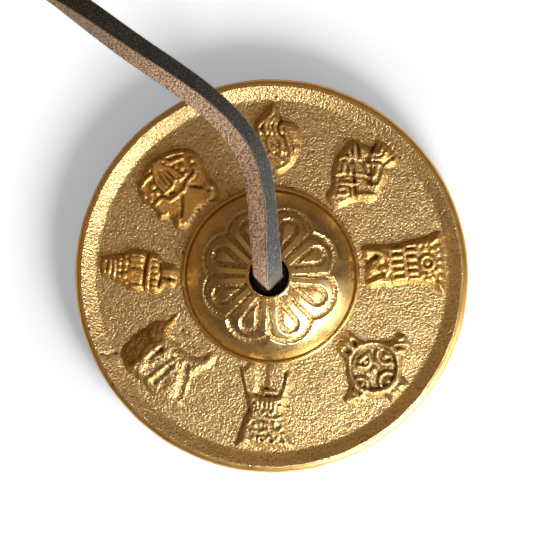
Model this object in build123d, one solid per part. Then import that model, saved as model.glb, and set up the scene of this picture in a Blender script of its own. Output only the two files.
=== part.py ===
from build123d import *
import os
from math import atan2, cos, degrees, radians, sin, sqrt, tan

# A pair of small cast cymbals joined by a leather thong. Lengths are in millimetres.
# Both cymbals rest boss up on the plane z = 0. The origin is on that plane, midway between them.

# Cymbal casting
cymbal_diameter = 70.0
rim_height = 5.6
rim_edge_round = 1.3          # polished outer edge
rim_lip_width = 0.4           # flat crest of the rim
rim_bevel_width = 2.0         # slope from the crest down to the field
field_height = 4.4            # top of the plate between rim and boss
foot_ring_width = 8.0         # flat ring that the cymbal rests on
foot_round = 0.8
foot_relief = 0.6             # the underside inside the ring is this much higher
bead_diameter = 31.6          # bead round the foot of the boss
bead_width = 0.9
bead_height = 1.5
bead_groove = 0.3             # groove between the bead and the dome
boss_height = 12.2            # crest of the lip round the hole
dome_radius = 19.5            # the dome is part of a ball
boss_wall = 3.0
hollow_flare = 0.4
hole_diameter = 7.1
hole_lip_width = 0.7
hole_lip_height = 0.25

# Lotus cut into the boss
petal_count = 8
first_petal = 22.5            # direction of one petal, in degrees
petal_reach = 12.2            # outermost point of a petal
petal_notch = 10.5            # where two petals meet
petal_start = 4.7             # inner end of the cuts
rib_cut_width = 0.8           # cut between two petals
scallop_cut_width = 0.55      # cut round the outside of a petal
drop_cut_width = 0.65         # cut round the drop inside a petal
drop_centre = 9.0
drop_radius = 1.45
drop_tip = 5.4
lotus_cut_depth = 0.45

# Eight symbols in relief on the field
symbol_margin = 0.5           # bare field left at both ends of a symbol
pad_height = 0.7
ridge_height = 1.15
relief_root = 0.4             # depth of the relief's root in the plate

# Thong, square in section
thong_width = 3.6
thong_roll = 45.0             # it stands in the holes with a corner to the front, in degrees
second_from_first = (-92.0, 8.0)
mouth_gap = 1.2               # from the boss's crest to the point where the thong flexes
flex_gap = 0.3                # between the thong's end and its neck in the hole
knot_diameter = 11.0
knot_clearance = 0.3          # between the knot and the boss's ceiling
knot_floor_clearance = 0.9
knot_tail = 3.6               # how far the cut end stands out of the knot
second_turn = 70.0            # the second cymbal is turned by this many degrees

# Places that follow from the sizes above
rim_radius = cymbal_diameter / 2
field_radius = rim_radius - rim_edge_round - rim_lip_width - rim_bevel_width
bead_radius = bead_diameter / 2
dome_foot = bead_radius - bead_width
hole_radius = hole_diameter / 2
lip_radius = hole_radius + hole_lip_width
dome_centre_z = boss_height - hole_lip_height - sqrt(dome_radius**2 - lip_radius**2)
ceiling_radius = dome_radius - boss_wall
hollow_radius = dome_foot - boss_wall + bead_width
flex_height = boss_height + mouth_gap
first_centre = (-second_from_first[0] / 2, -second_from_first[1] / 2)
second_centre = (second_from_first[0] / 2, second_from_first[1] / 2)


def dome_z(radius, ball):
    return dome_centre_z + sqrt(ball**2 - radius**2)


def dome_arc(start, end, ball):
    middle = (start + end) / 2
    return ThreePointArc(
        (start, dome_z(start, ball)),
        (middle, dome_z(middle, ball)),
        (end, dome_z(end, ball)),
    )


# Symbols: outlines in half lengths, across and outwards, seen with the top outwards
def mirrored(right_side):
    return right_side + [(-u, v) for u, v in reversed(right_side)]


conch_outline = [
    (0.05, 1.0), (0.25, 0.62), (0.55, 0.3), (0.62, -0.1), (0.5, -0.55), (0.2, -0.9),
    (-0.2, -0.95), (-0.5, -0.7), (-0.62, -0.3), (-0.5, 0.1), (-0.3, 0.45), (-0.1, 0.8),
]
knot_outline = [
    (0.2, -1.0), (0.55, -0.5), (0.68, -0.05), (0.6, 0.4), (0.42, 0.7), (0.38, 1.0),
    (-0.35, 1.0), (-0.45, 0.65), (-0.65, 0.3), (-0.68, -0.15), (-0.5, -0.6), (-0.2, -1.0),
]
banner_outline = mirrored(
    [(0.3, -0.88), (0.7, -1.0), (0.6, -0.3), (0.6, 0.3), (0.78, 1.0), (0.3, 0.9)]
)
wheel_outline = mirrored(
    [
        (0.22, -1.0), (0.32, -0.62), (0.62, -0.34), (1.0, -0.2), (1.0, 0.18),
        (0.62, 0.36), (0.32, 0.65), (0.22, 1.0),
    ]
)
parasol_outline = mirrored(
    [(0.28, -0.5), (0.42, -0.98), (0.65, -1.0), (0.5, -0.3), (0.52, 0.1), (0.62, 0.5), (0.75, 1.0)]
)
fishes_outline = mirrored(
    [(0.05, -0.55), (0.42, -0.9), (0.78, -0.95), (1.1, -0.3), (1.12, 0.2), (0.95, 0.75), (0.55, 0.95)]
)
vase_outline = mirrored(
    [
        (0.25, -1.0), (0.32, -0.75), (0.55, -0.6), (0.5, -0.32), (0.58, -0.15),
        (0.55, 0.2), (0.42, 0.32), (0.5, 0.5), (0.42, 0.8), (0.22, 1.0),
    ]
)
lotus_outline = mirrored(
    [
        (0.25, -0.85), (0.65, -1.0), (0.72, -0.3), (0.92, 0.15), (0.92, 0.5), (0.6, 0.82), (0.2, 0.97),
    ]
)

# Ridges on each symbol: bars from end to end with a width, and rings with two radii
conch_bars = [
    ((-0.35, -0.1), (0.35, 0.25), 0.12),
    ((-0.3, 0.2), (0.2, 0.5), 0.12),
    ((-0.1, -0.6), (0.35, -0.3), 0.16),
]
knot_bars = [
    ((-0.3, -0.7), (0.45, 0.2), 0.14), ((0.3, -0.7), (-0.45, 0.2), 0.14),
    ((-0.5, -0.25), (0.3, 0.75), 0.14), ((0.5, -0.25), (-0.25, 0.8), 0.14),
]
banner_bars = [
    ((side * 0.1, -0.1 + row * 0.12), (side * 0.38, -0.1 + row * 0.12), 0.06)
    for side in (-1, 1)
    for row in range(5)
]
wheel_bars = [((-0.45, 0.0), (0.45, 0.0), 0.16), ((0.0, -0.45), (0.0, 0.45), 0.16)]
wheel_rings = [((0.0, 0.0), 0.66, 0.54), ((0.0, 0.0), 0.2, 0.1)]
parasol_bars = [
    ((-0.4, -0.15), (0.4, -0.15), 0.16),
    ((-0.45, 0.3), (0.45, 0.3), 0.16),
    ((-0.58, 0.8), (0.58, 0.8), 0.16),
]
fishes_bars = [((-0.55, -0.6), (0.5, 0.7), 0.3), ((0.55, -0.6), (-0.5, 0.7), 0.3)]
fishes_rings = [((0.75, 0.1), 0.16, 0.08), ((-0.75, 0.1), 0.16, 0.08)]
vase_bars = [
    ((-0.45, -0.5), (0.45, -0.5), 0.1),
    ((-0.45, -0.05), (0.45, -0.05), 0.2),
    ((-0.36, 0.42), (0.36, 0.42), 0.1),
]
vase_rings = [((0.0, 0.75), 0.2, 0.1)]
lotus_fan = 0.72
lotus_bars = [
    ((0.0, -0.1), (lotus_fan * sin(radians(a)), lotus_fan * cos(radians(a))), 0.16)
    for a in (-60, -30, 0, 30, 60)
]

symbols = [
    # direction in degrees, outline, bars, rings
    (87.0, conch_outline, conch_bars, []),
    (50.0, knot_outline, knot_bars, []),
    (6.0, banner_outline, banner_bars, []),
    (-41.4, wheel_outline, wheel_bars, wheel_rings),
    (-92.0, parasol_outline, parasol_bars, []),
    (-140.0, fishes_outline, fishes_bars, fishes_rings),
    (177.4, vase_outline, vase_bars, vase_rings),
    (135.6, lotus_outline, lotus_bars, []),
]
symbol_half_length = (field_radius - bead_radius) / 2 - symbol_margin
symbol_circle = (field_radius + bead_radius) / 2


def symbol_relief(direction, outline, bars, rings):
    """One symbol with its ridges, standing on the field, as a list of solids."""
    size = symbol_half_length
    out = Vector(cos(radians(direction)), sin(radians(direction)))
    across = Vector(out.Y, -out.X)
    root = Plane(
        origin=(out * symbol_circle) + Vector(0, 0, field_height - relief_root),
        x_dir=across,
        z_dir=(0, 0, 1),
    )
    pad = make_face(Polyline(*[(u * size, v * size) for u, v in outline], close=True))
    solids = [extrude(root * pad, relief_root + pad_height)]
    for start, end, width in bars:
        run = Vector(*end) - Vector(*start)
        middle = (Vector(*end) + Vector(*start)) * (size / 2)
        turn = degrees(atan2(run.Y, run.X))
        bar = Pos(middle.X, middle.Y) * Rot(0, 0, turn) * Rectangle(run.length * size, width * size)
        solids.append(extrude(root * bar, relief_root + ridge_height))
    for centre, outer, inner in rings:
        ring = Pos(centre[0] * size, centre[1] * size) * (Circle(outer * size) - Circle(inner * size))
        solids.append(extrude(root * ring, relief_root + ridge_height))
    return solids


def lotus_cuts():
    """Cuts round the petals and their drops, with floors that follow the dome."""
    half = 180.0 / petal_count
    strokes = []
    lean = atan2(drop_radius, drop_centre - drop_tip)
    side_r = drop_centre + drop_radius * sin(lean)
    side_w = drop_radius * cos(lean)
    for k in range(petal_count):
        turn = Rot(0, 0, first_petal + 2 * half * k)
        notch_x = petal_notch * cos(radians(half))
        notch_y = petal_notch * sin(radians(half))
        scallop = ThreePointArc((notch_x, -notch_y), (petal_reach, 0), (notch_x, notch_y))
        rib = Line((petal_start * cos(radians(half)), petal_start * sin(radians(half))), (notch_x, notch_y))
        drop_end = ThreePointArc((side_r, -side_w), (drop_centre + drop_radius, 0), (side_r, side_w))
        drop_sides = [Line((drop_tip, 0), (side_r, side_w)), Line((drop_tip, 0), (side_r, -side_w))]
        strokes.append(turn * trace(scallop, scallop_cut_width))
        strokes.append(turn * trace(rib, rib_cut_width))
        strokes.append(turn * trace(drop_end, drop_cut_width))
        strokes += [turn * trace(side, drop_cut_width) for side in drop_sides]
    cuts = [extrude(Pos(0, 0, field_height) * stroke, boss_height - field_height) for stroke in strokes]
    core = Pos(0, 0, dome_centre_z) * Sphere(dome_radius - lotus_cut_depth)
    return [cut - core for cut in cuts]


def cymbal_casting():
    """Plate, rim, bead, dome and hole turned in one, then the relief and the lotus."""
    crest = rim_radius - rim_edge_round
    bevel_top = crest - rim_lip_width
    foot_outer = rim_radius - foot_round
    foot_inner = foot_outer - foot_ring_width
    bead_top = field_height + bead_height
    ceiling_z = dome_z(hollow_radius, ceiling_radius)
    with BuildPart() as turned:
        with BuildSketch(Plane.XZ):
            with BuildLine():
                # underside, from the hole outwards
                Line(
                    (hole_radius, boss_height - hole_lip_height),
                    (hole_radius, dome_z(hole_radius, ceiling_radius)),
                )
                dome_arc(hole_radius, hollow_radius, ceiling_radius)
                Polyline(
                    (hollow_radius, ceiling_z),
                    (hollow_radius, foot_relief + hollow_flare),
                    (hollow_radius + hollow_flare, foot_relief),
                    (foot_inner - foot_relief, foot_relief),
                    (foot_inner, 0),
                    (foot_outer, 0),
                )
                # outer edge and rim
                RadiusArc((foot_outer, 0), (rim_radius, foot_round), -foot_round)
                Line((rim_radius, foot_round), (rim_radius, rim_height - rim_edge_round))
                RadiusArc((rim_radius, rim_height - rim_edge_round), (crest, rim_height), -rim_edge_round)
                # bevel, field and bead, then up the dome to the hole
                Polyline(
                    (crest, rim_height),
                    (bevel_top, rim_height),
                    (field_radius, field_height),
                    (bead_radius, field_height),
                    (bead_radius, bead_top - bead_width / 2),
                )
                ThreePointArc(
                    (bead_radius, bead_top - bead_width / 2),
                    (bead_radius - bead_width / 2, bead_top),
                    (dome_foot, bead_top - bead_width / 2),
                )
                Polyline(
                    (dome_foot, bead_top - bead_width / 2),
                    (dome_foot, bead_top - bead_width / 2 - bead_groove),
                    (dome_foot - bead_groove, dome_z(dome_foot - bead_groove, dome_radius)),
                )
                dome_arc(dome_foot - bead_groove, lip_radius, dome_radius)
                Polyline(
                    (lip_radius, boss_height - hole_lip_height),
                    (lip_radius - hole_lip_height, boss_height),
                    (hole_radius + hole_lip_height, boss_height),
                    (hole_radius, boss_height - hole_lip_height),
                )
            make_face()
        revolve(axis=Axis.Z)
    relief = []
    for symbol in symbols:
        relief += symbol_relief(*symbol)
    casting = turned.part + relief
    return casting - lotus_cuts()


def knot_with_neck():
    """Knot under the boss, its cut end, and the thong's neck up through the hole."""
    top = dome_z(hole_radius, ceiling_radius) - knot_clearance
    height = top - knot_floor_clearance
    middle = knot_floor_clearance + height / 2
    radius = knot_diameter / 2
    ring = radius - height / 2
    lump = Pos(0, 0, middle) * (Torus(ring, height / 2) + Cylinder(ring, height))
    neck_height = flex_height - flex_gap - thong_width / 2 - middle
    neck = Pos(0, 0, middle) * extrude(Rectangle(thong_width, thong_width, rotation=thong_roll), neck_height)
    tail_length = radius + knot_tail
    tail = Pos(tail_length / 2, 0, knot_floor_clearance + thong_width / 2) * Box(
        tail_length, thong_width, thong_width
    )
    return lump + neck + tail


# Thong's route from mouth to mouth, measured from the first cymbal's centre on the resting plane.
# It leaves the first hole, bends over the boss, clears the rim, comes down to the plane,
# turns back there and climbs over the second cymbal's rim to its hole.
near_route = [
    (0.0, 0.0, flex_height),
    (0.0, 0.5, 16.6),
    (0.0, 3.0, 18.9),
    (0.1, 7.0, 19.9),
    (-0.3, 12.9, 20.5),
    (-2.0, 19.8, 21.2),
    (-4.9, 25.6, 21.7),
    (-9.2, 31.0, 22.0),
    (-15.2, 36.2, 22.0),
    (-22.0, 40.8, 21.5),
    (-30.0, 45.7, 20.3),
    (-38.5, 50.6, 17.8),
    (-47.5, 55.0, 13.4),
    (-56.5, 58.6, 8.4),
    (-66.0, 61.4, 4.4),
    (-76.0, 62.6, 2.8),
]
far_route = [
    (-86.0, 61.6, 2.8),
    (-95.0, 57.4, 4.2),
    (-101.4, 50.6, 8.2),
    (-104.8, 42.6, 13.2),
    (-105.2, 34.2, 17.2),
    (-102.9, 26.4, 19.6),
    (-99.6, 19.4, 20.5),
    (-96.1, 13.6, 20.1),
    (-93.8, 10.4, 18.9),
    (-92.3, 8.4, 16.6),
    (*second_from_first, flex_height),
]

bend_share = 0.45             # share of the shorter run that a bend takes


def route_radii(points):
    """Radius of each bend: as large as the two runs beside it allow."""
    radii = []
    for before, here, after in zip(points, points[1:], points[2:]):
        run_in = here - before
        run_out = after - here
        turn = run_in.get_angle(run_out)
        radii.append(bend_share * min(run_in.length, run_out.length) / tan(radians(turn / 2)))
    return radii


def thong():
    """The free thong, swept along its route, with a round end over each mouth."""
    shift = Vector(*first_centre)
    points = [Vector(*p) + shift for p in near_route + far_route]
    radii = route_radii(points)
    print("bend radii:", [round(r, 1) for r in radii])
    line = FilletPolyline(*points, radius=radii)
    roll = radians(thong_roll)
    section = Plane(origin=points[0], x_dir=(cos(roll), sin(roll), 0), z_dir=line % 0)
    tube = sweep(section * Rectangle(thong_width, thong_width), path=line)
    print("thong length:", round(line.length, 1))
    print("tube volume against section times length:", tube.volume / (thong_width**2 * line.length))
    ends = [Pos(*p) * Sphere(thong_width / 2) for p in (points[0], points[-1])]
    before, after = (Vector(*p) + shift for p in (near_route[-1], far_route[0]))
    parting = Plane(origin=(before + after) / 2, z_dir=after - before)
    whole = tube + ends
    return [split(whole, bisect_by=parting, keep=side) for side in (Keep.BOTTOM, Keep.TOP)]


first_place = Pos(*first_centre)
second_place = Pos(*second_centre) * Rot(0, 0, second_turn)
casting = cymbal_casting()
knot = knot_with_neck()
near_thong, far_thong = thong()

nodes = {
    "first_cymbal": first_place * casting,
    "second_cymbal": second_place * casting,
    "first_knot": first_place * knot,
    "second_knot": second_place * knot,
    "near_thong": near_thong,
    "far_thong": far_thong,
}
os.makedirs("parts", exist_ok=True)
for name, solid in nodes.items():
    export_step(solid, f"parts/{name}.step")
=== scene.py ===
import math

import bpy
import numpy as np
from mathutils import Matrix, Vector, noise


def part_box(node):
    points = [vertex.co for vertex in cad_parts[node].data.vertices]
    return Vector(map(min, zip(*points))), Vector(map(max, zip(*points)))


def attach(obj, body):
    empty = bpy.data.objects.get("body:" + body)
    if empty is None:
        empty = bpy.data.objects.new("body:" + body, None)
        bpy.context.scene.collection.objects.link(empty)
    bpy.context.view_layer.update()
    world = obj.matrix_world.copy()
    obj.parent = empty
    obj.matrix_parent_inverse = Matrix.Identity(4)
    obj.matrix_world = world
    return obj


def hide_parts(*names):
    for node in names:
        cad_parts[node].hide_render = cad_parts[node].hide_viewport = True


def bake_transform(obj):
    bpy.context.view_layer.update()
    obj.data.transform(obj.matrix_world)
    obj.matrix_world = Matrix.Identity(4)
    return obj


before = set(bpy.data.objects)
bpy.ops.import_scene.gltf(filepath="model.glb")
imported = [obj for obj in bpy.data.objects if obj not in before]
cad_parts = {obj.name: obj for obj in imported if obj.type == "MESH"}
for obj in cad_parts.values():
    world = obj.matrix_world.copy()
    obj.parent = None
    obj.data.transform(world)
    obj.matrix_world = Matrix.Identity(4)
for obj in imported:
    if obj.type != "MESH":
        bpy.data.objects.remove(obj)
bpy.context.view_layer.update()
bpy.ops.object.select_all(action="DESELECT")
print("frame loaded:", ", ".join(sorted(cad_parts)))

mm = 0.001    # the object is given in millimetres, the camera, the lamps and the floor's size in metres


def middleOf(node):
    low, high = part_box(node)
    return Vector(((low.x + high.x) / 2, (low.y + high.y) / 2, 0))


cymbals = {
    "first": {"centre": middleOf("first_cymbal"), "turn": 0},
    "second": {"centre": middleOf("second_cymbal"), "turn": 70},
}
firstCentre = cymbals["first"]["centre"]


# Mesh helpers
def setMode(mode):
    bpy.ops.object.mode_set(mode=mode)


def selectAll(action="SELECT"):
    bpy.ops.mesh.select_all(action=action)


def useOnly(obj):
    bpy.ops.object.select_all(action="DESELECT")
    obj.select_set(True)
    bpy.context.view_layer.objects.active = obj


def pointsOf(obj):
    flat = np.zeros(len(obj.data.vertices) * 3)
    obj.data.vertices.foreach_get("co", flat)
    return flat.reshape(-1, 3)


def movePoints(obj, points):
    obj.data.vertices.foreach_set("co", points.astype(np.float32).ravel())
    obj.data.update()


def setValue(obj, name, values):
    layer = obj.data.attributes.get(name) or obj.data.attributes.new(name, "FLOAT", "POINT")
    layer.data.foreach_set("value", np.asarray(values, np.float32))


def unevenness(points, size, seed):
    return np.array([noise.noise((x / size, y / size, z / size + seed)) for x, y, z in points])


def easeStep(low, high, x):
    t = np.clip((x - low) / (high - low), 0, 1)
    return t * t * (3 - 2 * t)


def shadeSmooth(obj, sharpest):
    useOnly(obj)
    bpy.ops.object.shade_smooth_by_angle(angle=math.radians(sharpest))


def meshFrom(name, points, faces):
    mesh = bpy.data.meshes.new(name)
    mesh.from_pydata([tuple(p) for p in points], [], faces)
    obj = bpy.data.objects.new(name, mesh)
    bpy.context.scene.collection.objects.link(obj)
    useOnly(obj)
    return obj


# Materials
bronzeSpec = {
    "sand": (0.80, 0.60, 0.29), "sandDark": (0.36, 0.22, 0.08), "polished": (0.85, 0.65, 0.3),
    # warm: orange, painted warm reflection of the surroundings, and a little warm tint at random
    "warmTintAndPaintedReflection": (0.94, 0.525, 0.12), "patina": (0.085, 0.045, 0.014),
    "sandRough": 0.49, "polishedRough": 0.27, "rimRough": 0.36,
    "coarse": (7.0, 0.4, 1.1), "fine": (2.2, 0.19, 0.5),    # sizes of clouds, grains and specks
    "grainDepth": 0.115, "turningDepth": 0.005, "rimTurning": 6.0,
}
leatherSpec = {
    "dyed": (0.028, 0.033, 0.036), "dyedWorn": (0.082, 0.094, 0.099), "cut": (0.92, 0.64, 0.41),
    "cutDark": (0.36, 0.17, 0.1), "cutPale": (0.98, 0.85, 0.66), "flesh": (0.16, 0.10, 0.06),
    # handled: brown for painted shade on the lace's middle stretch
    "paintedLaceShade": (0.14, 0.09, 0.055), "worn": (0.36, 0.34, 0.31),
    "coarse": (6.0, 0.42, 0.9), "fine": (1.6, 0.26, 0.4), "grainDepth": 0.09, "fibreDepth": 0.16,
}


class NodeBench:
    # short ways to lay nodes in one tree
    def __init__(self, tree):
        self.nodes, self.links = tree.nodes, tree.links

    def put(self, socket, value):
        if isinstance(value, bpy.types.NodeSocket):
            self.links.new(value, socket)
        elif isinstance(value, tuple):
            socket.default_value = (*value, 1)
        else:
            socket.default_value = value

    def add(self, kind, inputs, **settings):
        node = self.nodes.new("ShaderNode" + kind)
        for name, value in settings.items():
            setattr(node, name, value)
        for socket, value in inputs.items():
            self.put(node.inputs[socket], value)
        return node

    def dress(self, values):
        for name, value in values.items():
            self.put(self.nodes["Principled BSDF"].inputs[name], value)

    def value(self, name):
        return self.add("Attribute", {}, attribute_name=name).outputs["Fac"]

    def seen(self):
        return self.add("LightPath", {}).outputs["Is Camera Ray"]

    def maths(self, kind, *numbers):
        return self.add("Math", dict(enumerate(numbers)), operation=kind).outputs[0]

    def times(self, a, b):
        return self.maths("MULTIPLY", a, b)

    def plus(self, a, b):
        return self.maths("ADD", a, b)

    def span(self, source, low, high, outLow=0.0, outHigh=1.0, ease="SMOOTHSTEP"):
        ends = {"Value": source, "From Min": low, "From Max": high, "To Min": outLow, "To Max": outHigh}
        return self.add("MapRange", ends, interpolation_type=ease).outputs["Result"]

    def mix(self, share, a, b):
        return self.add("Mix", {"Factor": share, "A": a, "B": b}, data_type="RGBA").outputs["Result"]

    def mottled(self, cloud, grain, specks):
        sizes = {"Cloud Size": cloud, "Grain Size": grain, "Specks Size": specks}
        return self.add("Group", sizes, node_tree=mottle).outputs

    def bump(self, height, depth):
        return self.add("Bump", {"Distance": depth * mm, "Height": height}).outputs["Normal"]


def makeMottle():
    # clouds, grains and specks by their sizes in millimetres, shared by metal and leather
    patterns = {
        "Cloud": {"detail": 3.0, "rough": 0.55, "low": 0.3, "high": 0.7},
        "Grain": {"detail": 1.2, "rough": 0.5, "low": 0.28, "high": 0.72},
        "Specks": {"detail": 2.0, "rough": 0.5, "low": 0.68, "high": 0.76},
    }
    group = bpy.data.node_groups.new("mottle", "ShaderNodeTree")
    for name in patterns:
        group.interface.new_socket(name + " Size", in_out="INPUT", socket_type="NodeSocketFloat")
        group.interface.new_socket(name, in_out="OUTPUT", socket_type="NodeSocketFloat")
    b = NodeBench(group)
    sizes, made = b.nodes.new("NodeGroupInput").outputs, b.nodes.new("NodeGroupOutput")
    place = b.add("TexCoord", {}).outputs["Object"]
    for name, p in patterns.items():
        scale = b.maths("DIVIDE", 1 / mm, sizes[name + " Size"])
        given = {"Vector": place, "Scale": scale, "Detail": p["detail"], "Roughness": p["rough"]}
        pattern = b.add("TexNoise", given).outputs["Fac"]
        b.put(made.inputs[name], b.span(pattern, p["low"], p["high"], ease="LINEAR"))
    return group


mottle = makeMottle()


def newMaterial(name):
    material = bpy.data.materials.new(name)
    material.use_nodes = True
    return material, NodeBench(material.node_tree)


def makeBronze():
    material, b = newMaterial("castBronze")
    s = bronzeSpec
    polish, crevice, turned = b.value("polish"), b.value("crevice"), b.value("turned")
    coarse, fine = b.mottled(*s["coarse"]), b.mottled(*s["fine"])
    shine = b.span(b.plus(polish, b.maths("MULTIPLY_ADD", fine["Cloud"], 0.3, -0.15)), 0.2, 0.75)
    sand = b.mix(b.span(coarse["Grain"], 0.4, 0.95, 0.0, 0.6), s["sand"], s["sandDark"])
    # painted reflection: the orange stands in for warm surroundings reflected on the symbols' walls and
    # tops and on the rim; the coarse cloud adds a little warm tint at random
    warmTintAndPaintedReflectionShare = b.maths("MAXIMUM", b.value("warmTintAndPaintedReflectionShare"), b.times(coarse["Cloud"], 0.15))
    bright = b.mix(warmTintAndPaintedReflectionShare, s["polished"], s["warmTintAndPaintedReflection"])
    colour = b.mix(shine, sand, bright)
    # darker by the crevice attribute: patina in hollows and pits, with painted shade on the symbols' walls,
    # between their ridges and on the fishes' flank; dark specks at random
    patinaAndShade = b.times(crevice, b.span(fine["Cloud"], 0.0, 1.0, 0.55, 1.0))
    patinaAndShade = b.maths("MAXIMUM", patinaAndShade, b.times(coarse["Specks"], b.maths("SUBTRACT", 0.75, shine)))
    rough = b.plus(b.value("rough"), b.maths("MULTIPLY_ADD", fine["Cloud"], 0.12, -0.06))
    grain = b.plus(b.times(coarse["Grain"], 0.8), b.times(fine["Grain"], 0.2))
    grain = b.plus(b.maths("SUBTRACT", 1.0, grain), b.times(coarse["Specks"], -0.8))
    smooth = b.times(shine, b.span(turned, 0.0, 1.0, 0.35, 1.0))
    cast = b.times(grain, b.span(smooth, 0.0, 1.0, 1.0, 0.1))
    streaks = b.add("TexNoise", {"W": turned, "Scale": 7.0, "Detail": 3.0}, noise_dimensions="1D")
    worked = b.times(streaks.outputs["Fac"], s["turningDepth"] / s["grainDepth"])
    worked = b.times(worked, b.maths("MULTIPLY_ADD", b.value("warmTintAndPaintedReflectionShare"), s["rimTurning"], 1.0))
    b.dress({
        "Base Color": b.mix(patinaAndShade, colour, s["patina"]), "Roughness": b.plus(rough, b.times(patinaAndShade, 0.2)),
        "Metallic": 1.0, "Normal": b.bump(b.plus(cast, worked), s["grainDepth"]),
    })
    return material


def makeLeather():
    material, b = newMaterial("dyedLeather")
    s = leatherSpec
    dyed, across, along = b.value("dyed"), b.value("across"), b.value("along")
    coarse, fine = b.mottled(*s["coarse"]), b.mottled(*s["fine"])
    ragged = b.maths("MULTIPLY_ADD", fine["Cloud"], 0.1, -0.05)
    grainFace = b.span(b.plus(dyed, ragged), 0.86, 0.93)
    fleshFace = b.span(b.times(dyed, -1.0), 0.9, 0.97)
    corner = b.maths("MINIMUM", b.maths("ABSOLUTE", dyed), b.maths("ABSOLUTE", across))
    worn = b.span(b.plus(corner, ragged), 0.84, 0.93)
    rubbed = b.plus(b.times(coarse["Cloud"], 0.4), b.span(fine["Grain"], 0.3, 1.0, 0.0, 0.6))
    black = b.mix(rubbed, s["dyed"], s["dyedWorn"])
    black = b.mix(b.span(fine["Grain"], 0.66, 0.85, 0.0, 0.5), black, s["worn"])
    raw = b.mix(b.span(coarse["Grain"], 0.1, 0.8), s["cutDark"], s["cut"])
    raw = b.mix(b.span(fine["Grain"], 0.4, 1.0, 0.0, 0.7), raw, s["cutPale"])
    # painted shade: the cut faces are darkened along the lace's middle stretch, away from both cymbals
    paintedLaceShade = b.times(b.span(along, 0.04, 0.065), b.span(along, 0.145, 0.17, 1.0, 0.0))
    raw = b.mix(b.times(paintedLaceShade, 0.3), raw, s["paintedLaceShade"])
    raw = b.mix(b.times(fleshFace, 0.7), raw, s["flesh"])
    colour = b.mix(grainFace, raw, black)
    edge = b.times(worn, b.times(b.span(dyed, 0.6, 0.85), 0.75))
    fibre = b.times(b.plus(coarse["Grain"], fine["Grain"]), b.maths("SUBTRACT", 1.0, grainFace))
    pores = b.times(b.times(fine["Grain"], s["grainDepth"] / s["fibreDepth"]), grainFace)
    b.dress({
        "Base Color": b.mix(edge, colour, s["worn"]), "Roughness": b.span(grainFace, 0.0, 1.0, 0.85, 0.5),
        "Sheen Weight": 0.08, "Normal": b.bump(b.plus(fibre, pores), s["fibreDepth"]),
    })
    return material


bronze, leather = makeBronze(), makeLeather()
print("materials made")


# Camera, light and floor
cameraSpec = {
    "distance": 0.40,
    "lean": 3.0,                      # degrees from straight above, towards +X
    "frameWidth": 0.0947,
    "aim": (-0.76, 1.69, 5.0),        # millimetres from the first cymbal's centre
}
lightSpec = {
    # from: towards the light in plan, height: degrees over the floor, aim: in mm from the first centre
    "key": {"from": (0.565, -0.825), "height": 30.0, "distance": 0.19, "size": 0.085, "power": 0.118,
            "spread": 90.0, "aim": (6.0, -16.0), "colour": (1.0, 1.0, 1.0)},
    "window": {"from": (0.85, -0.52), "height": 20.0, "distance": 0.3, "size": 0.2, "power": 0.25,
               "spread": 180.0, "aim": (0.0, 0.0), "colour": (1.0, 1.0, 1.0)},
    "ceiling": {"from": (0.0, 1.0), "height": 84.0, "distance": 0.8, "size": 2.2, "power": 2.15,
                "spread": 180.0, "aim": (0.0, 0.0), "colour": (1.0, 0.67, 0.36)},
}
worldLight = (0.10, 0.068, 0.043)
floorSpec = {
    "size": 3.0, "drop": 0.02, "colour": (0.96, 0.96, 0.96), "rough": 0.9,
    # white that only the camera sees, less near the first cymbal, within these mm from its centre
    "nearLift": (0.22, 0.295, 0.36), "near": 38.0, "farLift": (0.6, 0.67, 0.72), "far": 62.0,
}


def makeCamera():
    lean = math.radians(cameraSpec["lean"])
    back = Vector((math.sin(lean), 0, math.cos(lean)))
    aim = firstCentre + Vector(cameraSpec["aim"]) * mm
    bpy.ops.object.camera_add(location=aim + back * cameraSpec["distance"], rotation=(0, lean, 0))
    camera = bpy.context.object
    camera.data.sensor_width = 36
    camera.data.lens = camera.data.sensor_width * cameraSpec["distance"] / cameraSpec["frameWidth"]
    camera.data.clip_start = 0.01
    bpy.context.scene.camera = camera


def makeAreaLight(name, spec):
    height = math.radians(spec["height"])
    across = Vector((*spec["from"], 0)).normalized()
    towards = across * math.cos(height) + Vector((0, 0, math.sin(height)))
    bpy.ops.object.light_add(type="AREA", location=firstCentre + towards * spec["distance"])
    light = bpy.context.object
    light.name = name
    light.data.shape = "DISK"
    light.data.size = spec["size"]
    light.data.color = spec["colour"]
    light.data.spread = math.radians(spec["spread"])
    light.data.energy = spec["power"]
    light.rotation_mode = "QUATERNION"
    aim = firstCentre + Vector((*spec["aim"], 0)) * mm - light.location
    light.rotation_quaternion = aim.to_track_quat("-Z", "Y")


def makeWorld():
    world = bpy.data.worlds.new("studio")
    world.use_nodes = True
    b = NodeBench(world.node_tree)
    b.put(b.nodes["Background"].inputs["Color"], b.mix(b.seen(), worldLight, (1.0, 1.0, 1.0)))
    bpy.context.scene.world = world
    bpy.context.scene.view_settings.view_transform = "Standard"


def makeFloor():
    f = floorSpec
    bpy.ops.mesh.primitive_plane_add(size=f["size"], location=(0, 0, -f["drop"] * mm))
    floor = bpy.context.object
    floor.name = "floor"
    paper, b = newMaterial("paleFloor")
    place = b.add("TexCoord", {}).outputs["Object"]
    away = b.add("VectorMath", {0: place, 1: firstCentre}, operation="DISTANCE").outputs["Value"]
    lift = b.mix(b.span(away, f["near"] * mm, f["far"] * mm), f["nearLift"], f["farLift"])
    b.dress({
        "Base Color": f["colour"], "Roughness": f["rough"], "Specular IOR Level": 0.0,
        "Emission Color": b.mix(b.seen(), (0.0, 0.0, 0.0), lift), "Emission Strength": 1.0,
    })
    floor.data.materials.append(paper)


makeCamera()
for name, spec in lightSpec.items():
    makeAreaLight(name, spec)
makeWorld()
makeFloor()
print("camera, light and floor made")


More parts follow.
